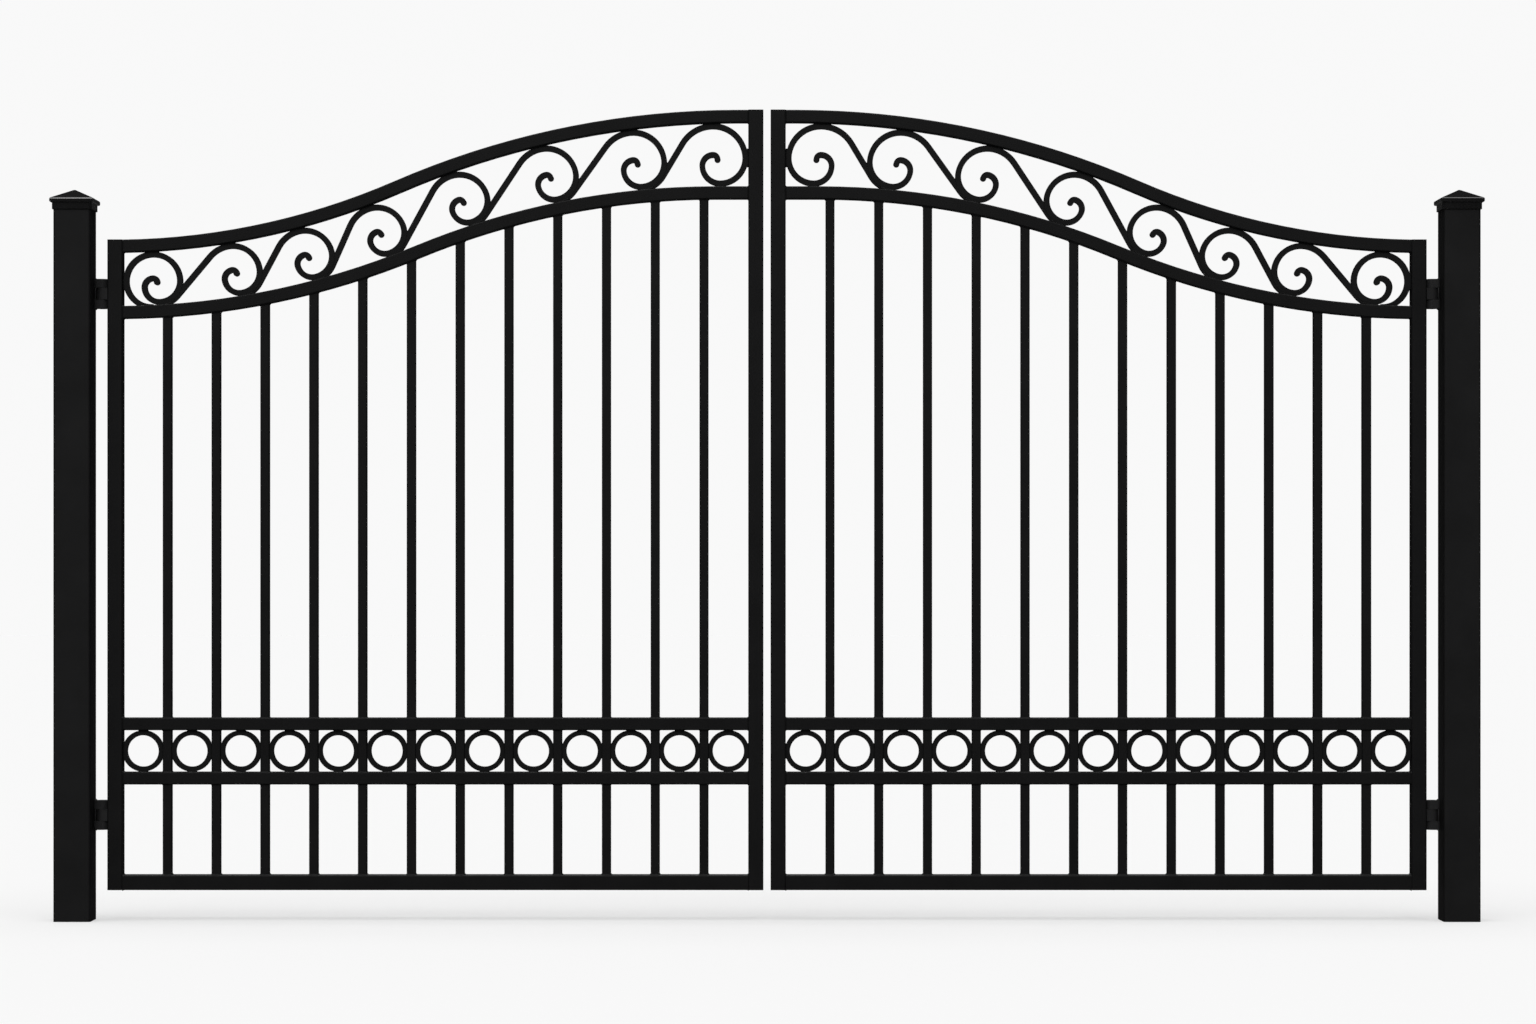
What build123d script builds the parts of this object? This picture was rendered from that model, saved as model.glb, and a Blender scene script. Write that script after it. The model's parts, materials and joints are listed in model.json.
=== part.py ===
from build123d import *
from math import asin, atan, atan2, copysign, cos, degrees, sin
import os

# A pair of swinging gate leaves between two square posts, in millimetres.
# The origin is the centre of the left post's foot. X runs along the gate to the right post,
# Z is up and the front of the gate faces -Y. The left half is modelled, the right half mirrors it.

# Opening and leaves
opening = 3732.0  # clear width between the two posts
meeting_gap = 20.0  # between the two meeting stiles
hinge_gap = 37.0  # between a post and its leaf
ground_gap = 83.0  # under the leaves
leaf_height = 1804.0  # at the hinge stile
leaf_rise = 360.0  # how much taller the meeting stile is

# Sections of the leaf
stile = 42.0  # square tube of the stiles and of the bottom rail
stile_wall = 2.5
rail = 35.0  # square tube of the curved and middle rails
rail_wall = 2.0
picket = 25.0  # square tube of the pickets
picket_wall = 1.5
tube_corner = 1.6  # outer corner radius of every square tube, in thicknesses of its wall
scroll_bar = 16.0  # square bar of the scrolls
ring_bar = 14.0  # square bar of the rings
weld_gap = 0.3  # root gap where a bar is welded to its neighbour
punch_clearance = 0.3  # round a picket where it passes through a middle rail

# Layout of the leaf
picket_count = 12
ring_diameter = 115.0  # a little more than a bay, so each ring is ground flat where it meets a picket
ring_band_height = 327.5  # top of the lower middle rail, above the leaf's bottom
scroll_band = 149.0  # clear height between the curved rails at the hinge stile
scroll_band_rise = 28.0  # how much higher that band is at the meeting stile
top_crest_flat = 72.0  # straight end of the top rail's edge at the meeting side
top_foot_flat = 13.0  # and at the hinge side
top_crown_share = 0.5485  # the crown arc's part of the two radii
lower_crest_flat = 136.0
lower_foot_flat = 19.0
lower_crown_share = 0.5

# Scrolls
scroll_step = 0.222  # how much each quarter turn of the curl is tighter, as a share of its crown
scroll_hook = 0.42  # radius of the curl's last bend, as a share of the bend before it
scroll_tip = 8.5  # radius of the rounded end of the curl
scroll_tip_turn = 94.0  # degrees turned by the last bend
scroll_shoulder = 9.0  # how much wider the bend over to the tail is than the crown
scroll_lap = 9.5  # how deep a tail is scarfed where it lies against its neighbour
scroll_foot_turn = 22.0  # degrees round the neighbour's foot at which the tail ends
first_foot = 3.0  # how far the first scroll's tail stands up from the rail that it is cut into
scroll_spread = 1.49  # usual distance between two scrolls, as a share of the scroll band
scroll_spacing = (0, 0.142, 0.271, 0.4, 0.547, 0.7025, 0.8575, 1)  # closer where the leaf is steep

# Posts and caps
post = 102.0
post_wall = 4.0
post_reach = 97.0  # above the leaves, at their hinge side
cap_skirt = 18.0  # height of the skirt round the post's top
cap_skirt_wall = 3.7
cap_fit = 0.3  # between the skirt and the post
cap_brim = 120.0
cap_brim_height = 12.0
cap_brim_edge = 4.5  # radius of the brim's upper and lower edges
cap_pyramid = 27.0
cap_point = 4.0  # blunt top of the pyramid
cap_plate = 4.0  # metal left over the hollow under the cap

# Hinges
hinge_height = 82.0
upper_hinge_drop = 149.0  # from the leaf's top to the middle of the hinge
lower_hinge_rise = 207.0  # from the leaf's foot to the middle of the hinge
hinge_axis_inset = 8.0  # pin's axis in front of the leaf's back
hinge_foot = 26.0  # width of the flat foot by which a knuckle is welded on
knuckle_radius = 17.5
leaf_knuckle = 32.0  # height of the middle knuckle
knuckle_gap = 0.5
pin_radius = 8.0
pin_clearance = 0.1
pin_chamfer = 1.0

# What follows from them
leaf_width = (opening - meeting_gap) / 2 - hinge_gap
hinge_edge = post / 2 + hinge_gap
meeting_edge = hinge_edge + leaf_width
gate_middle = post / 2 + opening / 2
leaf_middle = hinge_edge + leaf_width / 2
leaf_back = post / 2
leaf_depth_middle = leaf_back - stile / 2
inner_width = leaf_width - 2 * stile
picket_pitch = (inner_width + picket) / (picket_count + 1)
leaf_top = ground_gap + leaf_height
post_height = leaf_top + post_reach
leaf_plane = Plane.XZ.offset(-leaf_depth_middle)
mirror_plane = Plane.YZ.offset(gate_middle)
hinge_axis_x = post / 2 + hinge_gap / 2
hinge_axis_y = leaf_back - hinge_axis_inset

left_parts = []


def finish(part, label):
    """Labels a piece of the left half and keeps it for the mirrored right half."""
    part.label = label
    left_parts.append(part)
    export_step(part, f"parts/{label}.step")


def square(size, corner, mode=Mode.ADD):
    """Adds a square with rounded corners to a sketch."""
    RectangleRounded(size, size, corner, mode=mode)


def tube_section(size, wall):
    """Adds the section of a square tube to a sketch."""
    square(size, tube_corner * wall)
    square(size - 2 * wall, (tube_corner - 1) * wall, mode=Mode.SUBTRACT)


class CurvedEdge:
    """Top edge of a curved rail: level, over a crown arc, through a foot arc, level again."""

    def __init__(self, crest, foot, crest_flat, foot_flat, crown_share):
        run = leaf_width - crest_flat - foot_flat
        drop = crest - foot
        both_radii = (run**2 + drop**2) / (2 * drop)
        self.turn = 2 * atan(drop / run)
        self.crown_radius = both_radii * crown_share
        self.foot_radius = both_radii - self.crown_radius
        self.crest, self.foot = crest, foot
        self.crest_end = meeting_edge - crest_flat
        self.foot_start = hinge_edge + foot_flat

    def draw(self, inset):
        """Draws the edge from the meeting edge to the hinge edge, set in square to itself."""
        crest_start = (meeting_edge, self.crest - inset)
        level = Line(crest_start, (self.crest_end, self.crest - inset))
        crown = JernArc(level @ 1, (-1, 0), self.crown_radius - inset, degrees(self.turn))
        foot = JernArc(crown @ 1, crown % 1, self.foot_radius + inset, -degrees(self.turn))
        Line(foot @ 1, (hinge_edge, self.foot - inset))

    def at(self, x, inset):
        """Height and slope in radians of the inset edge at x."""
        crown_radius = self.crown_radius - inset
        foot_radius = self.foot_radius + inset
        inflection = self.foot_start + foot_radius * sin(self.turn)
        if x > self.crest_end:
            return self.crest - inset, 0.0
        if x > inflection:
            slope = asin((self.crest_end - x) / crown_radius)
            return self.crest - inset - crown_radius * (1 - cos(slope)), slope
        if x > self.foot_start:
            slope = asin((x - self.foot_start) / foot_radius)
            return self.foot - inset + foot_radius * (1 - cos(slope)), slope
        return self.foot - inset, 0.0


top_edge = CurvedEdge(
    leaf_top + leaf_rise, leaf_top, top_crest_flat, top_foot_flat, top_crown_share
)
lower_edge = CurvedEdge(
    leaf_top + leaf_rise - rail - scroll_band - scroll_band_rise,
    leaf_top - rail - scroll_band,
    lower_crest_flat,
    lower_foot_flat,
    lower_crown_share,
)


def edge_band(edge, inset, width, mode=Mode.ADD):
    """Adds to a sketch the band under a curved edge, over the whole width of the leaf."""
    with BuildLine() as outline:
        edge.draw(inset)
        edge.draw(inset + width)
        for x, z in ((meeting_edge, edge.crest), (hinge_edge, edge.foot)):
            Line((x, z - inset), (x, z - inset - width))
    make_face(outline.line, mode=mode)


def bar_edge(start, heading, moves, shift):
    """Draws one edge of a bent bar, shift to the left of its middle line, and gives its ends."""
    first = place = start + heading.rotate(Axis.Z, 90) * shift
    for size, turn in moves:
        if turn:
            stretch = JernArc(place, heading, size - copysign(shift, shift * turn), turn)
        else:
            stretch = Line(place, place + heading * size)
        place, heading = stretch @ 1, stretch % 1
    return first, place


def bent_bar(start, heading, moves, width):
    """Adds a bent bar to a sketch and gives the middle of its far end."""
    with BuildLine() as outline:
        left_start, left_end = bar_edge(start, heading, moves, width / 2)
        right_start, right_end = bar_edge(start, heading, moves, -width / 2)
        Line(left_start, right_start)
        Line(left_end, right_end)
    make_face(outline.line)
    return (left_end + right_end) / 2


class Scroll:
    """One scroll between the curved rails: a curl and a tail, bent from its highest point."""

    def __init__(self, x):
        over, over_slope = top_edge.at(x, rail)
        under, under_slope = lower_edge.at(x, 0)
        slope = (over_slope + under_slope) / 2
        self.tilt = degrees(slope)
        self.clear = (over - under) * cos(slope)
        self.radius = (self.clear - scroll_bar - 2 * weld_gap) / (2 - scroll_step)
        step = self.radius * scroll_step
        self.along = Vector(1, 0).rotate(Axis.Z, self.tilt)
        self.up = self.along.rotate(Axis.Z, 90)
        centre = Vector(x, over - (self.radius + scroll_bar / 2 + weld_gap) / cos(slope))
        self.top = centre + self.up * self.radius
        self.foot_centre = centre + self.along * step
        self.foot_radius = self.radius - step
        self.curl = [(self.radius - n * step, -90) for n in range(4)]
        last_radius, _ = self.curl[-1]
        self.curl.append((last_radius * scroll_hook, -scroll_tip_turn))

    def first_tail(self):
        """Half a turn down past the stile and onto the lower rail."""
        return [
            (self.radius, 90),
            (self.clear - self.radius - weld_gap - first_foot, 90),
        ]

    def tail(self, neighbour):
        """Over a wide shoulder, straight across, and round the outside of its neighbour's foot."""
        shoulder = self.radius + scroll_shoulder
        around = neighbour.foot_radius + scroll_bar + weld_gap - scroll_lap
        across = neighbour.foot_centre - (self.top - self.up * shoulder)
        reach = asin((shoulder + around) / across.length)
        heading = degrees(atan2(across.Y, across.X) + reach) % 360
        return [
            (shoulder, heading - 180 - self.tilt),
            (across.length * cos(reach), 0),
            (around, neighbour.tilt + 180 + scroll_foot_turn - heading),
        ]

    def cut_seat(self):
        """Cuts from a sketch what lies inside this scroll's outer half, and the weld gap."""
        with BuildLine() as outline:
            ends = bar_edge(self.top, self.along, self.curl[:2], scroll_bar / 2 + weld_gap)
            Line(*ends)
        make_face(outline.line, mode=Mode.SUBTRACT)


def end_scroll_x(face, side):
    """Where a scroll stands whose crown arc just clears a stile's inner face."""
    x = face + side * scroll_band / 2
    for _ in range(4):
        x = face + side * (weld_gap + scroll_bar / 2 + Scroll(x).radius)
    return x


def scroll_places():
    """Where the scrolls of a leaf stand, from the hinge side on, as many as its width takes."""
    first = end_scroll_x(hinge_edge + stile, 1)
    last = end_scroll_x(meeting_edge - stile, -1)
    steps = round((last - first) / (scroll_spread * scroll_band))
    for step in range(steps + 1):
        station = step / steps * (len(scroll_spacing) - 1)
        before = min(int(station), len(scroll_spacing) - 2)
        share, next_share = scroll_spacing[before : before + 2]
        share += (station - before) * (next_share - share)
        yield first + share * (last - first)


os.makedirs("parts", exist_ok=True)

# Left post, a square tube open at its foot
with BuildPart() as left_post:
    with BuildSketch():
        tube_section(post, post_wall)
    extrude(amount=post_height)
finish(left_post.part, "left_post")

# Post cap: a square brim under a low pyramid, a skirt round the post's top, hollow underneath
brim_top = post_height + cap_brim_height
cap_top = brim_top + cap_pyramid
with BuildPart() as left_post_cap:
    for side_plane, combine in ((Plane.XZ, Mode.ADD), (Plane.YZ, Mode.INTERSECT)):
        with BuildSketch(side_plane):
            with BuildLine():
                Polyline(
                    (-cap_brim / 2, post_height),
                    (cap_brim / 2, post_height),
                    (cap_brim / 2, brim_top),
                    (cap_point / 2, cap_top),
                    (-cap_point / 2, cap_top),
                    (-cap_brim / 2, brim_top),
                    close=True,
                )
            make_face()
            brim_ends = vertices().group_by(Axis.X)
            fillet(brim_ends[0] + brim_ends[-1], cap_brim_edge)
        extrude(amount=cap_brim, both=True, mode=combine)
    with BuildSketch(Plane.XY.offset(post_height)):
        square(post - 2 * post_wall, (tube_corner - 1) * post_wall)
    extrude(amount=cap_brim_height - cap_plate, mode=Mode.SUBTRACT)
    with BuildSketch(Plane.XY.offset(post_height - cap_skirt)):
        fit_corner = tube_corner * post_wall + cap_fit
        square(post + 2 * (cap_fit + cap_skirt_wall), fit_corner + cap_skirt_wall)
        square(post + 2 * cap_fit, fit_corner, mode=Mode.SUBTRACT)
    extrude(amount=cap_skirt)
finish(left_post_cap.part, "left_post_cap")

# Stiles, square tubes closed at the top
for label, x in (
    ("left_leaf_hinge_stile", hinge_edge + stile / 2),
    ("left_leaf_meeting_stile", meeting_edge - stile / 2),
):
    height = leaf_height if x < leaf_middle else leaf_height + leaf_rise
    with BuildPart() as stile_tube:
        with BuildSketch(Plane.XY.offset(ground_gap)):
            with Locations((x, leaf_depth_middle)):
                tube_section(stile, stile_wall)
        extrude(amount=height - stile_wall)
        with BuildSketch(Plane.XY.offset(ground_gap + height - stile_wall)):
            with Locations((x, leaf_depth_middle)):
                square(stile, tube_corner * stile_wall)
        extrude(amount=stile_wall)
    finish(stile_tube.part, label)

# Bottom rail, the same tube laid between the stiles
with BuildPart() as bottom_rail:
    with BuildSketch(Plane.YZ.offset(hinge_edge + stile)):
        with Locations((leaf_depth_middle, ground_gap + stile / 2)):
            tube_section(stile, stile_wall)
    extrude(amount=inner_width)
finish(bottom_rail.part, "left_leaf_bottom_rail")

# Middle rails under and over the rings, punched for the pickets
ring_band_bottom = ground_gap + ring_band_height
for label, bottom in (
    ("left_leaf_lower_middle_rail", ring_band_bottom - rail),
    ("left_leaf_upper_middle_rail", ring_band_bottom + ring_diameter + 2 * weld_gap),
):
    with BuildPart() as middle_rail:
        with BuildSketch(Plane.YZ.offset(hinge_edge + stile)):
            with Locations((leaf_depth_middle, bottom + rail / 2)):
                tube_section(rail, rail_wall)
        extrude(amount=inner_width)
        with BuildSketch(Plane.XY.offset(bottom)):
            with Locations((leaf_middle, leaf_depth_middle)):
                with GridLocations(picket_pitch, 1, picket_count, 1):
                    punch_corner = tube_corner * picket_wall + punch_clearance
                    square(picket + 2 * punch_clearance, punch_corner)
        extrude(amount=rail, mode=Mode.SUBTRACT)
    finish(middle_rail.part, label)

# Curved rails over and under the scrolls, rolled from the same square tube
for label, edge in (
    ("left_leaf_top_rail", top_edge),
    ("left_leaf_lower_curved_rail", lower_edge),
):
    with BuildPart() as curved_rail:
        with BuildSketch(leaf_plane):
            edge_band(edge, 0, rail)
            with Locations((leaf_middle, edge.foot)):
                Rectangle(inner_width, 2 * leaf_height, mode=Mode.INTERSECT)
        extrude(amount=rail / 2, both=True)
        long_edges = faces().filter_by(Axis.Y).edges().filter_by(Axis.Z, reverse=True)
        fillet(long_edges, tube_corner * rail_wall)
        with BuildSketch(leaf_plane):
            edge_band(edge, rail_wall, rail - 2 * rail_wall)
        extrude(amount=rail / 2 - rail_wall, both=True, mode=Mode.SUBTRACT)
    finish(curved_rail.part, label)

# Pickets from the bottom rail, through the middle rails, up to the lower curved rail
with BuildPart() as pickets:
    with BuildSketch(Plane.XY.offset(ground_gap + stile)):
        with Locations((leaf_middle, leaf_depth_middle)):
            with GridLocations(picket_pitch, 1, picket_count, 1):
                tube_section(picket, picket_wall)
    extrude(amount=leaf_height + leaf_rise - stile)
    with BuildSketch(leaf_plane):
        with BuildLine():
            lower_edge.draw(rail)
            over = leaf_top + leaf_rise
            Polyline(
                (hinge_edge, lower_edge.foot - rail),
                (hinge_edge, over),
                (meeting_edge, over),
                (meeting_edge, lower_edge.crest - rail),
            )
        make_face()
    extrude(amount=picket / 2, both=True, mode=Mode.SUBTRACT)
finish(pickets.part, "left_leaf_pickets")

# Rings, one in each bay between the middle rails
with BuildPart() as rings:
    with BuildSketch(leaf_plane):
        with Locations((leaf_middle, ring_band_bottom + weld_gap + ring_diameter / 2)):
            with GridLocations(picket_pitch, 1, picket_count + 1, 1):
                Circle(ring_diameter / 2)
                Circle(ring_diameter / 2 - ring_bar, mode=Mode.SUBTRACT)
            with GridLocations(picket_pitch, 1, picket_count + 2, 1):
                Rectangle(picket + 2 * weld_gap, ring_diameter, mode=Mode.SUBTRACT)
    extrude(amount=ring_bar / 2, both=True)
finish(rings.part, "left_leaf_rings")

# Scrolls between the curved rails. Each leans on the one before it by its tail
with BuildPart() as scrolls:
    neighbour = None
    for scroll_place in scroll_places():
        scroll = Scroll(scroll_place)
        tail_moves = scroll.tail(neighbour) if neighbour else scroll.first_tail()
        with BuildSketch(leaf_plane):
            bent_bar(scroll.top, -scroll.along, tail_moves, scroll_bar)
            edge_band(lower_edge, -weld_gap, rail, mode=Mode.SUBTRACT)
            edge_band(top_edge, 0, rail + weld_gap, mode=Mode.SUBTRACT)
            if neighbour:
                neighbour.cut_seat()
            tip = bent_bar(scroll.top, scroll.along, scroll.curl, scroll_bar)
            with Locations(tip):
                Circle(scroll_tip)
        neighbour = scroll
    extrude(amount=scroll_bar / 2, both=True)
finish(scrolls.part, "left_leaf_scrolls")

# Hinges: barrels of three knuckles round a pin, the outer two on the post and one on the leaf
outer_knuckle = (hinge_height - leaf_knuckle) / 2 - knuckle_gap
for place, middle in (
    ("upper", leaf_top - upper_hinge_drop),
    ("lower", ground_gap + lower_hinge_rise),
):
    bottom = middle - hinge_height / 2
    outer_bottoms = (bottom, middle + leaf_knuckle / 2 + knuckle_gap)
    halves = (
        ("post", post / 2 + weld_gap, outer_bottoms, outer_knuckle),
        ("leaf", hinge_edge - weld_gap, (middle - leaf_knuckle / 2,), leaf_knuckle),
    )
    for owner, foot_face, knuckle_bottoms, knuckle_height in halves:
        with BuildPart() as hinge_half:
            for knuckle_bottom in knuckle_bottoms:
                with BuildSketch(Plane.XY.offset(knuckle_bottom)):
                    foot_middle = (foot_face + hinge_axis_x) / 2
                    with Locations((foot_middle, leaf_back - hinge_foot / 2)):
                        Rectangle(abs(foot_face - hinge_axis_x), hinge_foot)
                    with Locations((hinge_axis_x, hinge_axis_y)):
                        Circle(knuckle_radius)
                        Circle(pin_radius + pin_clearance, mode=Mode.SUBTRACT)
                extrude(amount=knuckle_height)
        finish(hinge_half.part, f"left_{place}_hinge_{owner}_half")
    with BuildPart() as hinge_pin:
        with BuildSketch(Plane.XY.offset(bottom)):
            with Locations((hinge_axis_x, hinge_axis_y)):
                Circle(pin_radius)
        extrude(amount=hinge_height)
        chamfer(edges().filter_by(GeomType.CIRCLE), pin_chamfer)
    finish(hinge_pin.part, f"left_{place}_hinge_pin")

# Right half
for left_part in left_parts:
    with BuildPart() as right_part:
        mirror(left_part, about=mirror_plane)
    right_part.part.label = left_part.label.replace("left_", "right_")
    export_step(right_part.part, f"parts/{right_part.part.label}.step")
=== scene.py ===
"""The looks of the driveway gate: powder coat, welds, hinge straps, floor, lamps and camera."""

import json
import math

import bmesh
import bpy
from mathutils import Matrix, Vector, noise
from mathutils.bvhtree import BVHTree


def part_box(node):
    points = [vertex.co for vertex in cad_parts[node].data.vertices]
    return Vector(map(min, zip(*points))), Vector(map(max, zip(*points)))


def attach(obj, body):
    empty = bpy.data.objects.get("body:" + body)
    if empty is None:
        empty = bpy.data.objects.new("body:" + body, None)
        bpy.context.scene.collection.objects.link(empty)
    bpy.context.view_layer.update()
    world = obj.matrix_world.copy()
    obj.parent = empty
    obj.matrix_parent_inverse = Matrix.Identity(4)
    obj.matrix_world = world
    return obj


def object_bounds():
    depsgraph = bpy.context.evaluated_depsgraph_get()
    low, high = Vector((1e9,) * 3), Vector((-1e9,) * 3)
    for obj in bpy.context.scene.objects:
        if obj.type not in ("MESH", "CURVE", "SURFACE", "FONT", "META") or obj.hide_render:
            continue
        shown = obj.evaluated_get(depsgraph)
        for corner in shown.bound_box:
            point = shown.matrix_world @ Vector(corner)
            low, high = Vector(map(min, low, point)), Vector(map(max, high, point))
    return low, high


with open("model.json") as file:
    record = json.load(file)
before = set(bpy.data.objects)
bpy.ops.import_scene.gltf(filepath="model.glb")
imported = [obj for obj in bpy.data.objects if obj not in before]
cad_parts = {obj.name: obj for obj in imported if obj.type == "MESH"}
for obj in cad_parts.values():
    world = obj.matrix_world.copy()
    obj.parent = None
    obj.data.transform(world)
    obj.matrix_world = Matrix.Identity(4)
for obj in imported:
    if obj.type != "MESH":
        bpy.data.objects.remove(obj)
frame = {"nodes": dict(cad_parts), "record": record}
cad_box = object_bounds()

nodes = frame["nodes"]
SIDES = {"left": 1, "right": -1}  # and which way along X the leaf reaches from its post
MIDDLE = (cad_box[0][0] + cad_box[1][0]) / 2

# The photograph, in pixels of its 1536 x 1024 frame
IMAGE_WIDTH = 1536
IMAGE_MIDDLE = (768, 512)
GATE_CENTRE_COLUMN = 767
HORIZON_ROW = 585
POST_FACE_SCALE = 362.81  # pixels for each metre, at the front of the posts

# The camera, in metres
CAMERA_DISTANCE = 10.652  # from the front of the posts
EYE_HEIGHT = 0.929
SENSOR_WIDTH = 36.0  # millimetres
FARTHEST_SEEN = 200.0

# Every coat: its name, its black, its roughness, its specular level, the grains of its skin in a
# metre, and their relief in metres. The black is linear, and it is the same in red and green
COATS = {
    "leaf_coating": ("leaf_coat", 0.0038, 0.50, 0.08, 900.0, 0.0004),
    "scrollwork_coating": ("scrollwork_coat", 0.0038, 0.50, 0.08, 900.0, 0.0004),
    "post_coating": ("post_coat", 0.0056, 0.50, 0.08, 700.0, 0.0004),
    "cap_coating": ("cap_coat", 0.0048, 0.12, 0.48, 420.0, 0.00012),
    # The hinge coat's black is lighter than the other blacks as painted light. It stands in for lamp
    # light that the hinges, their welds and their straps don't get, set back in the posts' shadow
    "hinge_coating": ("hinge_coat", 0.0130, 0.50, 0.08, 800.0, 0.0005),
}
CLOUD_SCALE = 9.0  # of the clouds that make tint and sheen uneven
CLOUD_DETAIL = 6.0
TINTS = ((0.30, 0.86, 0.88), (0.72, 1.14, 1.18))  # place in the cloud, shares of the black and in blue
SHEEN_RANGE = (-0.05, 0.06)  # around the roughness
PEEL_DETAIL = 3.0
PEEL_STRENGTH = 0.30
BACKGROUND = 0.945  # linear

# Light. Heights are degrees above the ground, sides are degrees right of straight in front,
# and softness is how many degrees a lamp is wide
OVERHEAD = {"height": 80, "side": -20, "softness": 60, "strength": 2.4}
FRONT = {"height": 36, "side": -8, "softness": 28, "strength": 2.1}
BACK = {"height": 58, "side": 180, "softness": 24, "strength": 2.2}
AMBIENT = 0.22  # what the surround sheds on the object
FLOOR_GLOSS = 0.06  # what the gloss sees of the floor, as if black cloth lay out of the picture
SIDES_GLOSS = 0.03  # and of the surround's sides
GLOSS_EDGE = (0.80, 0.98)  # between these heights on the sky's unit sphere the panel overhead begins
FLOOR_SHADOW_SHARE = 0.53  # how much of the floor's look is its lit surface, the rest is plain white
FLOOR_REACH = 60.0

# Welds, in metres
SEAM_STEP = 0.0013  # along a seam
SEAM_LAP = 0.0011  # how far a seam's weld laps onto each bar
SEAM_PROUD = 0.0008  # how far it stands out of the bars' faces
SEAM_POINTS = 16  # round its section
SEAM_SQUARENESS = 3.2  # exponent of its section, 2 is an ellipse
SEAM_SMOOTHING = 2  # steps on either side that its line is averaged over
SEAM_END_TURNS = (30, 60, 80)  # degrees, the sections that round its ends off
FACE_SWELL = 5  # how much more the ripple shows in its face than in its width
SHORTEST_RUN = 4  # steps
TOUCHING = 0.0002  # under this gap the outline's own direction is the one across
LEAST_FACING = 0.3  # cosine of the widest turn between the outline's direction and the one across
RIPPLE_LENGTH = 0.0042
RIPPLE_DEPTH = 0.06  # as a share of the weld's size
UNEVENNESS = (1.4, 90)  # of the welder's hand: its depth in ripples, and its scale
BEAD_LEG = 0.0030  # at the pickets' ends and the hinges
RAIL_BEAD_LEG = 0.0022
BEAD_STEP = 0.0026
BEAD_CORNER_TURN = 30  # degrees a step
BEAD_SECTION = ((1.0, -0.3), (0.9, 0.2), (0.58, 0.58), (0.2, 0.9), (-0.3, 1.0), (-0.3, -0.3))
PUNCH_BEAD_LEG = 0.0020  # where the pickets pass through the middle rails
PICKET_CORNER = 0.0024
RAIL_CORNER = 0.0032
RAY_START = 0.03  # how far before a rail the rays start that find its face
END_FACE = 0.0003  # how far a rail's end face may be off its end
LEVEL = 0.99  # Z of the direction out of a level face
TOP_BEAD_END = 0.4  # Z of that direction where the bead round the top rail stops under its top
FRONT_FACING = -0.99  # Y of the normal of a bar's front face

# How far apart two bars may be and still be bridged by the weld, in metres
TOP_RAIL_REACH = 0.0029
STILE_REACH = 0.0040
LOWER_RAIL_REACH = 0.0013
TAIL_CORNER_REACH = 0.0072  # in the corner between a scroll's foot, the rail and the next tail
NEIGHBOUR_REACH = 0.0020
RING_REACH = 0.0020

# The flat strap that joins the two knuckles of a hinge on the post, in metres
STRAP_THICKNESS = 0.0034
STRAP_DEPTH = 0.009
STRAP_CORNER = 0.0008
STRAP_LAP = 0.0002  # into the post

# The hinges' beads
HINGE_BEAD_END = 0.03  # share of the foot's height left free at either end
KNUCKLE_CORNER = 0.0008
KNUCKLE_BACK = 0.007  # metres of its back left free
SIDEWAYS = -0.01  # Z of a level direction, with room for rounding


def new_material(name):
    """A material with an empty node tree and its output."""
    material = bpy.data.materials.new(name)
    material.use_nodes = True
    tree = material.node_tree
    tree.nodes.clear()
    output = tree.nodes.new("ShaderNodeOutputMaterial")
    return material, tree, output


def powder_coat(name, black, roughness, specular, grain, relief):
    """A baked powder coat: an orange-peel skin, and an uneven tint and sheen."""
    material, tree, output = new_material(name)
    new, link = tree.nodes.new, tree.links.new
    shader = new("ShaderNodeBsdfPrincipled")
    link(shader.outputs["BSDF"], output.inputs["Surface"])
    shader.inputs["Metallic"].default_value = 0.0
    shader.inputs["Specular IOR Level"].default_value = specular

    place = new("ShaderNodeTexCoord")
    cloud = new("ShaderNodeTexNoise")
    cloud.inputs["Scale"].default_value = CLOUD_SCALE
    cloud.inputs["Detail"].default_value = CLOUD_DETAIL
    link(place.outputs["Object"], cloud.inputs["Vector"])
    tint = new("ShaderNodeValToRGB")
    for stop, (position, share, blue_share) in zip(tint.color_ramp.elements, TINTS):
        stop.position = position
        stop.color = (share * black, share * black, blue_share * black, 1)
    link(cloud.outputs["Fac"], tint.inputs["Fac"])
    link(tint.outputs["Color"], shader.inputs["Base Color"])

    sheen = new("ShaderNodeMapRange")
    sheen.inputs["To Min"].default_value = roughness + SHEEN_RANGE[0]
    sheen.inputs["To Max"].default_value = roughness + SHEEN_RANGE[1]
    link(cloud.outputs["Fac"], sheen.inputs["Value"])
    link(sheen.outputs["Result"], shader.inputs["Roughness"])

    peel = new("ShaderNodeTexNoise")
    peel.inputs["Scale"].default_value = grain
    peel.inputs["Detail"].default_value = PEEL_DETAIL
    link(place.outputs["Object"], peel.inputs["Vector"])
    bump = new("ShaderNodeBump")
    bump.inputs["Strength"].default_value = PEEL_STRENGTH
    bump.inputs["Distance"].default_value = relief
    link(peel.outputs["Fac"], bump.inputs["Height"])
    link(bump.outputs["Normal"], shader.inputs["Normal"])
    return material


coats = {slot: powder_coat(*values) for slot, values in COATS.items()}


def coat_nodes():
    """Gives every CAD node its powder coat."""
    for row in frame["record"]["subparts"]:
        obj = nodes[row["node"]]
        obj.data.materials.clear()
        obj.data.materials.append(coats[row["material_slot"]])


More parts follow.
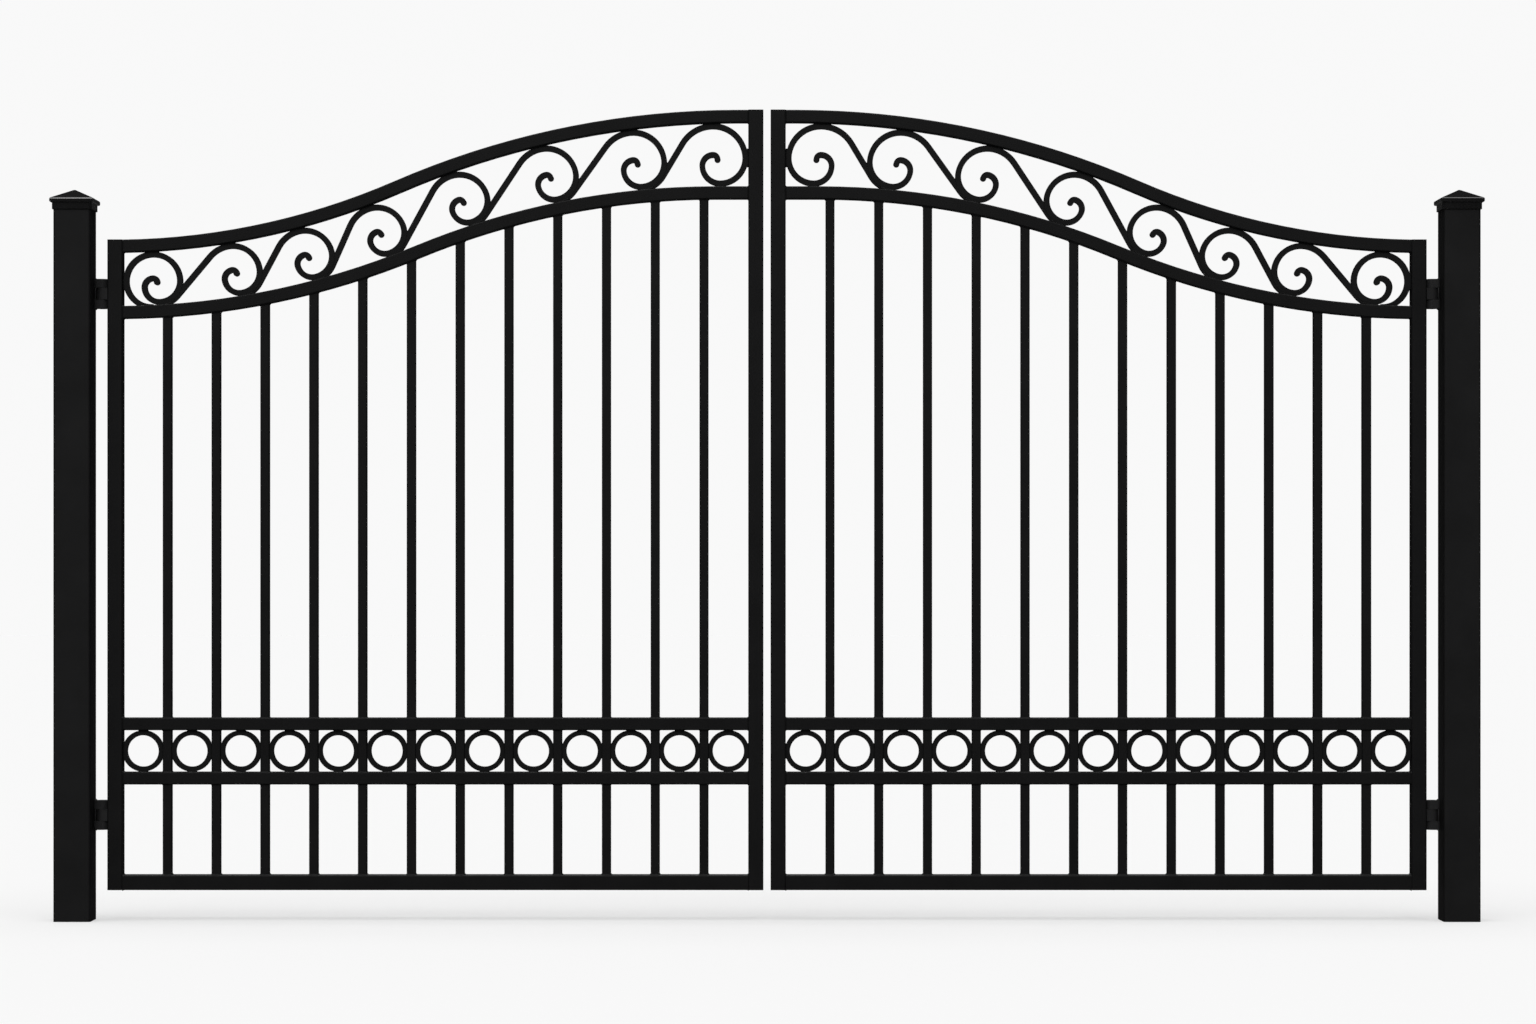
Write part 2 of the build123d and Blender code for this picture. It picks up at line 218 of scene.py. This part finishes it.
class Solid:
    """One solid of a node: its box, a tree to find its surface, and the edges of its front face."""

    def __init__(self, faces):
        corners = [[vert.co.copy() for vert in face.verts] for face in faces]
        points = [point for corner in corners for point in corner]
        starts = [0]
        for corner in corners:
            starts.append(starts[-1] + len(corner))
        polygons = [range(start, end) for start, end in zip(starts, starts[1:])]
        self.low = Vector([min(point[axis] for point in points) for axis in range(3)])
        self.high = Vector([max(point[axis] for point in points) for axis in range(3)])
        self.tree = BVHTree.FromPolygons(points, [list(polygon) for polygon in polygons])
        self.half_depth = (self.high.y - self.low.y) / 2
        self.middle = (self.high.y + self.low.y) / 2
        self.front_edges = {}
        for face in faces:
            if face.normal.y > FRONT_FACING:
                continue
            for loop in face.loops:
                others = [other for other in loop.edge.link_faces if other is not face]
                if all(other.normal.y > FRONT_FACING for other in others):
                    ends = (loop.vert, loop.link_loop_next.vert)
                    start, end = (vert.co.xz.to_tuple(7) for vert in ends)
                    self.front_edges[start] = end

    def outlines(self):
        """The closed outlines of the front face, moved to the middle plane, metal on their left."""
        follow = dict(self.front_edges)
        while follow:
            start, place = follow.popitem()
            chain = [start]
            while place != start:
                chain.append(place)
                place = follow.pop(place)
            yield [Vector((x, self.middle, z)) for x, z in chain]

    def stations(self):
        """Points along each outline with the direction out of the metal."""
        for outline in self.outlines():
            places = []
            for start, end in zip(outline, outline[1:] + outline[:1]):
                run = end - start
                outward = Vector((run.z, 0, -run.x)).normalized()
                count = max(1, math.ceil(run.length / SEAM_STEP))
                places += [(start + run * (step / count), outward) for step in range(count)]
            yield places


def solids_of(node):
    """The separate solids of a node, from the lowest X on."""
    mesh = bmesh.new()
    mesh.from_mesh(nodes[node].data)
    bmesh.ops.remove_doubles(mesh, verts=mesh.verts, dist=1e-6)
    mesh.normal_update()
    unseen = set(mesh.faces)
    found = []
    for face in mesh.faces:
        if face not in unseen:
            continue
        unseen.discard(face)
        island = [face]
        for member in island:
            for edge in member.edges:
                for other in edge.link_faces:
                    if other in unseen:
                        unseen.discard(other)
                        island.append(other)
        found.append(Solid(island))
    mesh.free()
    return sorted(found, key=lambda solid: (round(solid.low.x, 4), solid.low.z))


def add_tube(mesh, sections, closed=False):
    """Adds a tube through sections of equally many points, with ends unless it closes on itself."""
    rings = [[mesh.verts.new(point) for point in section] for section in sections]
    pairs = list(zip(rings, rings[1:] + rings[:1]))
    for ring, next_ring in pairs if closed else pairs[:-1]:
        for near in range(len(ring)):
            far = (near + 1) % len(ring)
            mesh.faces.new((ring[near], ring[far], next_ring[far], next_ring[near]))
    if not closed:
        mesh.faces.new(list(reversed(rings[0])))
        mesh.faces.new(rings[-1])


def ripple(place, travelled):
    """How much bigger or smaller a weld is here, from the welder's steps and an uneven hand."""
    wave = math.sin(2 * math.pi * travelled / RIPPLE_LENGTH)
    depth, scale = UNEVENNESS
    return 1 + RIPPLE_DEPTH * (wave + depth * noise.noise(place * scale))


def seam_section(middle, across, half_gap, half_depth):
    """One section of a weld that fills the gap between two bars."""
    points = []
    for step in range(SEAM_POINTS):
        angle = 2 * math.pi * step / SEAM_POINTS
        gap_share, depth_share = (
            math.copysign(abs(share) ** (2 / SEAM_SQUARENESS), share)
            for share in (math.cos(angle), math.sin(angle))
        )
        offset = across * (half_gap * gap_share)
        points.append(middle + offset + Vector((0, half_depth * depth_share, 0)))
    return points


def add_seam(mesh, run, half_depth):
    """Adds the weld along a run of close places, each a middle, a direction across and a gap."""
    smooth = []
    for index in range(len(run)):
        near = run[max(0, index - SEAM_SMOOTHING) : index + SEAM_SMOOTHING + 1]
        middle = sum((place for place, _, _ in near), Vector()) / len(near)
        across = sum((direction for _, direction, _ in near), Vector()).normalized()
        smooth.append((middle, across, run[index][2]))
    travelled = 0
    sections = []
    last = len(smooth) - 1
    for index, (middle, across, gap) in enumerate(smooth):
        if index:
            travelled += (middle - smooth[index - 1][0]).length
        swell = ripple(middle, travelled)
        half_gap = gap / 2 + SEAM_LAP * swell
        depth = half_depth + SEAM_PROUD * (1 + FACE_SWELL * (swell - 1))
        section = seam_section(middle, across, half_gap, depth)
        if index not in (0, last):
            sections.append(section)
            continue
        beyond = (middle - smooth[1 if index == 0 else last - 1][0]).normalized()
        rounding = []
        for turn in SEAM_END_TURNS:
            share = math.cos(math.radians(turn))
            place = middle + beyond * (half_gap * math.sin(math.radians(turn)))
            end_depth = depth - half_gap * (1 - share)
            rounding.append(seam_section(place, across, half_gap * share, end_depth))
        sections += rounding[::-1] + [section] if index == 0 else [section] + rounding
    add_tube(mesh, sections)


def seam_runs(places, tree, reach):
    """Runs of places round an outline that lie within reach of a surface in front of them."""
    marks = []
    for place, outward in places:
        found, _, _, gap = tree.find_nearest(place, reach)
        if found is None:
            marks.append(None)
            continue
        across = (found - place) if gap > TOUCHING else outward.copy()
        across.y = 0
        across.normalize()
        faces = across.dot(outward) > LEAST_FACING
        marks.append(((place + found) / 2, across, gap) if faces else None)
    if None not in marks:
        return
    start = marks.index(None)
    run = []
    for mark in marks[start:] + marks[: start + 1]:
        if mark:
            run.append(mark)
        elif run:
            if len(run) > SHORTEST_RUN:
                yield run
            run = []


def finish_welds(mesh, name, body, slot):
    """Makes a piece of a mesh of welds, on its body and with the coat of what it joins."""
    bmesh.ops.recalc_face_normals(mesh, faces=mesh.faces)
    for face in mesh.faces:
        face.smooth = True
    data = bpy.data.meshes.new(name)
    mesh.to_mesh(data)
    mesh.free()
    piece = bpy.data.objects.new(name, data)
    bpy.context.scene.collection.objects.link(piece)
    data.materials.append(coats[slot])
    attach(piece, body)


def weld_scroll_foot(mesh, scroll, rail, toward, has_next):
    """Welds a scroll to the rail under it, and fills the corner where the next one's tail ends."""
    middle_x = (scroll.low.x + scroll.high.x) / 2
    for places in scroll.stations():
        for run in seam_runs(places, rail.tree, TAIL_CORNER_REACH):
            tight = min(run, key=lambda mark: mark[2])[0].x
            is_curl = (tight - middle_x) * toward > 0
            kept = [
                mark
                for mark in run
                if mark[2] < LOWER_RAIL_REACH
                or (is_curl and has_next and (mark[0].x - tight) * toward > 0)
            ]
            if len(kept) > SHORTEST_RUN:
                add_seam(mesh, kept, scroll.half_depth)


def weld_scrolls(side):
    """Welds between the scrolls, the rails over and under them, and the stiles."""
    mesh = bmesh.new()
    toward = SIDES[side]
    lower_rail = solids_of(f"{side}_leaf_lower_curved_rail")[0]
    around = [
        (solids_of(f"{side}_leaf_{name}")[0].tree, reach)
        for name, reach in (
            ("top_rail", TOP_RAIL_REACH),
            ("hinge_stile", STILE_REACH),
            ("meeting_stile", STILE_REACH),
        )
    ]
    scrolls = solids_of(f"{side}_leaf_scrolls")[::toward]
    for index, scroll in enumerate(scrolls):
        near = [(scrolls[index - 1].tree, NEIGHBOUR_REACH)] if index else []
        for places in scroll.stations():
            for tree, reach in around + near:
                for run in seam_runs(places, tree, reach):
                    add_seam(mesh, run, scroll.half_depth)
        weld_scroll_foot(mesh, scroll, lower_rail, toward, index < len(scrolls) - 1)
    finish_welds(mesh, f"{side}_leaf_scroll_welds", f"{side}_leaf", "scrollwork_coating")


def weld_rings(side):
    """Welds between the rings, the middle rails, the pickets and the stiles."""
    mesh = bmesh.new()
    bars = [solids_of(f"{side}_leaf_{name}_middle_rail")[0] for name in ("lower", "upper")]
    bars += [solids_of(f"{side}_leaf_{name}_stile")[0] for name in ("hinge", "meeting")]
    bars += solids_of(f"{side}_leaf_pickets")
    for ring in solids_of(f"{side}_leaf_rings"):
        for places in ring.stations():
            for bar in bars:
                if bar.low.x > ring.high.x + RING_REACH or bar.high.x < ring.low.x - RING_REACH:
                    continue
                for run in seam_runs(places, bar.tree, RING_REACH):
                    add_seam(mesh, run, ring.half_depth)
    finish_welds(mesh, f"{side}_leaf_ring_welds", f"{side}_leaf", "scrollwork_coating")


def rounded_path(low, high, radius):
    """Points round a rectangle with rounded corners, each with its outward direction."""
    path = []
    inner_low = [value + radius for value in low]
    inner_high = [value - radius for value in high]
    corners = (
        (inner_high[0], inner_high[1]),
        (inner_low[0], inner_high[1]),
        (inner_low[0], inner_low[1]),
        (inner_high[0], inner_low[1]),
    )
    for index, corner in enumerate(corners):
        for step in range(90 // BEAD_CORNER_TURN + 1):
            angle = math.radians(90 * index + BEAD_CORNER_TURN * step)
            out = (math.cos(angle), math.sin(angle))
            path.append((corner[0] + radius * out[0], corner[1] + radius * out[1], *out))
        following = corners[(index + 1) % 4]
        length = abs(following[0] - corner[0]) + abs(following[1] - corner[1])
        count = max(1, round(length / BEAD_STEP))
        u, v, *out = path[-1]
        for step in range(1, count):
            share = step / count
            moved = [share * (far - near) for near, far in zip(corner, following)]
            path.append((u + moved[0], v + moved[1], *out))
    return path


def add_bead(mesh, path, leg, closed):
    """Adds a fillet bead along a path of places, each with a direction on the base and the bar."""
    travelled = 0
    sections = []
    for index, (place, out, up) in enumerate(path):
        if index:
            travelled += (place - path[index - 1][0]).length
        size = leg * ripple(place, travelled)
        sections.append([place + out * (size * u) + up * (size * v) for u, v in BEAD_SECTION])
    add_tube(mesh, sections, closed)


def weld_pickets(side):
    """Beads round every picket, on the bottom rail, at the middle rails and under the curved one."""
    mesh = bmesh.new()
    bottom_rail, low_rail, high_rail, curved_rail = (
        solids_of(f"{side}_leaf_{name}_rail")[0]
        for name in ("bottom", "lower_middle", "upper_middle", "lower_curved")
    )
    bays = (
        (bottom_rail.high.z, -1, bottom_rail, BEAD_LEG),
        (low_rail.low.z, 1, low_rail, PUNCH_BEAD_LEG),
        (low_rail.high.z, -1, low_rail, PUNCH_BEAD_LEG),
        (high_rail.low.z, 1, high_rail, PUNCH_BEAD_LEG),
        (high_rail.high.z, -1, high_rail, PUNCH_BEAD_LEG),
        (high_rail.high.z, 1, curved_rail, BEAD_LEG),
    )
    for picket in solids_of(f"{side}_leaf_pickets"):
        outline = rounded_path(picket.low.xy, picket.high.xy, PICKET_CORNER)
        for height, way, rail, leg in bays:
            toward = Vector((0, 0, way))
            path = []
            for x, y, out_x, out_y in outline:
                out = Vector((out_x, out_y, 0))
                start = Vector((x, y, height)) - toward * RAY_START
                near, far = (
                    rail.tree.ray_cast(start + out * reach, toward)[0] for reach in (leg / 2, leg)
                )
                base = Vector((x, y, 2 * near.z - far.z))
                path.append((base, (far - base) / leg, -toward))
            add_bead(mesh, path, leg, True)
    finish_welds(mesh, f"{side}_leaf_picket_welds", f"{side}_leaf", "leaf_coating")


def weld_rails(side):
    """Beads where the rails end on the stiles, but ground away where they are flush with them."""
    mesh = bmesh.new()
    for name in ("bottom", "lower_middle", "upper_middle", "lower_curved", "top"):
        node = nodes[f"{side}_leaf_{name}_rail"]
        points = [vert.co for vert in node.data.vertices]
        for way, end_of in ((1, min), (-1, max)):
            end = end_of(point.x for point in points)
            face = [point for point in points if abs(point.x - end) < END_FACE]
            low = [min(point[axis] for point in face) for axis in (1, 2)]
            high = [max(point[axis] for point in face) for axis in (1, 2)]
            along = Vector((way, 0, 0))
            path = [
                (Vector((end, y, z)), Vector((0, out_y, out_z)), along)
                for y, z, out_y, out_z in rounded_path(low, high, RAIL_CORNER)
            ]
            if name == "bottom":
                for up in (1, -1):
                    level = [mark for mark in path if mark[1].z * up > LEVEL]
                    add_bead(mesh, level, RAIL_BEAD_LEG, False)
            elif name == "top":
                first = next(index for index, mark in enumerate(path) if mark[1].z > LEVEL)
                past = [mark for mark in path[first:] + path[:first] if mark[1].z < TOP_BEAD_END]
                add_bead(mesh, past, RAIL_BEAD_LEG, False)
            else:
                add_bead(mesh, path, RAIL_BEAD_LEG, True)
    finish_welds(mesh, f"{side}_leaf_rail_welds", f"{side}_leaf", "leaf_coating")


def build_straps(side):
    """A flat strap on the post's side at each hinge, from its lower to its upper knuckle."""
    mesh = bmesh.new()
    post_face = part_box(f"{side}_post")[SIDES[side] > 0][0]
    for place in ("upper", "lower"):
        low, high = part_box(f"{side}_{place}_hinge_post_half")
        faces = sorted(post_face + SIDES[side] * out for out in (-STRAP_LAP, STRAP_THICKNESS))
        section = rounded_path((faces[0], low[1]), (faces[1], low[1] + STRAP_DEPTH), STRAP_CORNER)
        ends = (low[2], high[2])
        add_tube(mesh, [[Vector((x, y, height)) for x, y, _, _ in section] for height in ends])
    finish_welds(mesh, f"{side}_hinge_straps", "posts", "hinge_coating")


def weld_hinges(side):
    """Beads down the front of the hinges' feet, and over the outer ends of those on the post."""
    toward = SIDES[side]
    on_leaf, on_post = bmesh.new(), bmesh.new()
    post_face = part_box(f"{side}_post")[toward > 0][0]
    stile_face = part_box(f"{side}_leaf_hinge_stile")[toward < 0][0]
    for height_name in ("upper", "lower"):
        leaf_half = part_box(f"{side}_{height_name}_hinge_leaf_half")
        low, high = (Vector(corner) for corner in leaf_half)
        height = high.z - low.z
        steps = round(height / BEAD_STEP)
        path = []
        for step in range(steps + 1):
            share = HINGE_BEAD_END + (1 - 2 * HINGE_BEAD_END) * step / steps
            place = Vector((stile_face, low.y, low.z + height * share))
            path.append((place, Vector((0, -1, 0)), Vector((-toward, 0, 0))))
        add_bead(on_leaf, path, BEAD_LEG, False)
        knuckles = solids_of(f"{side}_{height_name}_hinge_post_half")
        knuckles.sort(key=lambda solid: solid.low.z)
        for knuckle, up in zip(knuckles, (-1, 1)):
            outline = rounded_path(knuckle.low.yz, knuckle.high.yz, KNUCKLE_CORNER)
            path = [
                (Vector((post_face, y, z)), Vector((0, out_y, out_z)), Vector((toward, 0, 0)))
                for y, z, out_y, out_z in outline
                if y < knuckle.high.y - KNUCKLE_BACK and out_z * up > SIDEWAYS
            ]
            add_bead(on_post, path, BEAD_LEG, False)
    finish_welds(on_leaf, f"{side}_hinge_leaf_welds", f"{side}_leaf", "hinge_coating")
    finish_welds(on_post, f"{side}_hinge_post_welds", "posts", "hinge_coating")


def build_floor():
    """A pale floor that runs far behind the gate."""
    mesh = bpy.data.meshes.new("floor")
    corners = [(-1, -1), (1, -1), (1, 1), (-1, 1)]
    corners = [(MIDDLE + x * FLOOR_REACH, y * FLOOR_REACH, 0) for x, y in corners]
    mesh.from_pydata(corners, [], [(0, 1, 2, 3)])
    floor = bpy.data.objects.new("floor", mesh)
    bpy.context.scene.collection.objects.link(floor)

    overhead = OVERHEAD["strength"] * math.sin(math.radians(OVERHEAD["height"])) / math.pi
    white = BACKGROUND / (overhead + AMBIENT)
    material, tree, output = new_material("floor")
    new, link = tree.nodes.new, tree.links.new
    lit = new("ShaderNodeBsdfDiffuse")
    lit.inputs["Color"].default_value = (white, white, white, 1)
    glow = new("ShaderNodeEmission")
    glow.inputs["Color"].default_value = (BACKGROUND, BACKGROUND, BACKGROUND, 1)
    mix = new("ShaderNodeMixShader")
    seen = new("ShaderNodeLightPath")
    share = new("ShaderNodeMath")
    share.operation = "MULTIPLY"
    share.inputs[1].default_value = 1 - FLOOR_SHADOW_SHARE
    link(seen.outputs["Is Camera Ray"], share.inputs[0])
    link(share.outputs[0], mix.inputs["Fac"])
    link(lit.outputs["BSDF"], mix.inputs[1])
    link(glow.outputs["Emission"], mix.inputs[2])
    gloss = new("ShaderNodeEmission")
    gloss.inputs["Color"].default_value = (FLOOR_GLOSS, FLOOR_GLOSS, FLOOR_GLOSS, 1)
    all_rays = new("ShaderNodeMixShader")
    link(seen.outputs["Is Glossy Ray"], all_rays.inputs["Fac"])
    link(mix.outputs["Shader"], all_rays.inputs[1])
    link(gloss.outputs["Emission"], all_rays.inputs[2])
    link(all_rays.outputs["Shader"], output.inputs["Surface"])
    floor.data.materials.append(material)
    return floor


def build_world():
    """White for the eye, dim as a light, and for the gloss dark walls and a panel overhead."""
    world = bpy.data.worlds.new("studio")
    bpy.context.scene.world = world
    world.use_nodes = True
    tree = world.node_tree
    tree.nodes.clear()
    new, link = tree.nodes.new, tree.links.new
    output = new("ShaderNodeOutputWorld")
    seen = new("ShaderNodeLightPath")

    place = new("ShaderNodeTexCoord")
    axes = new("ShaderNodeSeparateXYZ")
    link(place.outputs["Generated"], axes.inputs[0])
    overhead = new("ShaderNodeMapRange")
    overhead.interpolation_type = "SMOOTHSTEP"
    overhead.inputs["From Min"].default_value = GLOSS_EDGE[0]
    overhead.inputs["From Max"].default_value = GLOSS_EDGE[1]
    overhead.inputs["To Min"].default_value = SIDES_GLOSS
    overhead.inputs["To Max"].default_value = BACKGROUND
    link(axes.outputs["Z"], overhead.inputs["Value"])

    ambient = new("ShaderNodeBackground")
    ambient.inputs["Color"].default_value = (1, 1, 1, 1)
    ambient.inputs["Strength"].default_value = AMBIENT
    gloss = new("ShaderNodeBackground")
    gloss.inputs["Color"].default_value = (1, 1, 1, 1)
    link(overhead.outputs["Result"], gloss.inputs["Strength"])
    white = new("ShaderNodeBackground")
    white.inputs["Color"].default_value = (BACKGROUND, BACKGROUND, BACKGROUND, 1)

    dim = new("ShaderNodeMixShader")
    link(seen.outputs["Is Glossy Ray"], dim.inputs["Fac"])
    link(ambient.outputs["Background"], dim.inputs[1])
    link(gloss.outputs["Background"], dim.inputs[2])
    seen_white = new("ShaderNodeMath")
    seen_white.operation = "MAXIMUM"
    link(seen.outputs["Is Camera Ray"], seen_white.inputs[0])
    link(seen.outputs["Is Transmission Ray"], seen_white.inputs[1])
    mix = new("ShaderNodeMixShader")
    link(seen_white.outputs[0], mix.inputs["Fac"])
    link(dim.outputs["Shader"], mix.inputs[1])
    link(white.outputs["Background"], mix.inputs[2])
    link(mix.outputs["Shader"], output.inputs["Surface"])


def build_lamp(name, lamp):
    """A soft sun, over the gate, in front of it or behind it."""
    data = bpy.data.lights.new(name, "SUN")
    data.energy = lamp["strength"]
    data.angle = math.radians(lamp["softness"])
    obj = bpy.data.objects.new(name, data)
    height, side = math.radians(lamp["height"]), math.radians(lamp["side"])
    level = math.cos(height)
    source = Vector((math.sin(side) * level, -math.cos(side) * level, math.sin(height)))
    obj.rotation_euler = source.to_track_quat("Z", "Y").to_euler()
    bpy.context.scene.collection.objects.link(obj)
    return obj


def leave_unlit(lamp, left_out):
    """Keeps a lamp off some objects, as off the floor, where only the overhead one casts a shadow."""
    group = bpy.data.collections.new(f"left_out_of_the_{lamp.name}_lamp")
    for obj in left_out:
        group.objects.link(obj)
    for member in group.collection_objects:
        member.light_linking.link_state = "EXCLUDE"
    lamp.light_linking.receiver_collection = group


def build_camera():
    """The photograph's level view, framed by a shift of the lens."""
    data = bpy.data.cameras.new("camera")
    camera = bpy.data.objects.new("camera", data)
    bpy.context.scene.collection.objects.link(camera)
    post_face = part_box("left_post")[0][1]
    focal_pixels = POST_FACE_SCALE * CAMERA_DISTANCE
    data.sensor_fit = "HORIZONTAL"
    data.sensor_width = SENSOR_WIDTH
    data.lens = focal_pixels * SENSOR_WIDTH / IMAGE_WIDTH
    data.shift_x = (IMAGE_MIDDLE[0] - GATE_CENTRE_COLUMN) / IMAGE_WIDTH
    data.shift_y = (HORIZON_ROW - IMAGE_MIDDLE[1]) / IMAGE_WIDTH
    camera.location = (MIDDLE, post_face - CAMERA_DISTANCE, EYE_HEIGHT)
    camera.rotation_euler = (math.radians(90), 0, 0)
    data.clip_end = FARTHEST_SEEN
    bpy.context.scene.camera = camera


coat_nodes()
for leaf_side in SIDES:
    weld_scrolls(leaf_side)
    weld_rings(leaf_side)
    weld_pickets(leaf_side)
    weld_rails(leaf_side)
    build_straps(leaf_side)
    weld_hinges(leaf_side)
studio_floor = build_floor()
build_world()
build_lamp("overhead", OVERHEAD)
leave_unlit(build_lamp("front", FRONT), [studio_floor])
caps = [nodes[f"{side}_post_cap"] for side in SIDES]  # their slopes would throw the back lamp forward
leave_unlit(build_lamp("back", BACK), [studio_floor] + caps)
build_camera()
bpy.context.scene.view_settings.view_transform = "Standard"
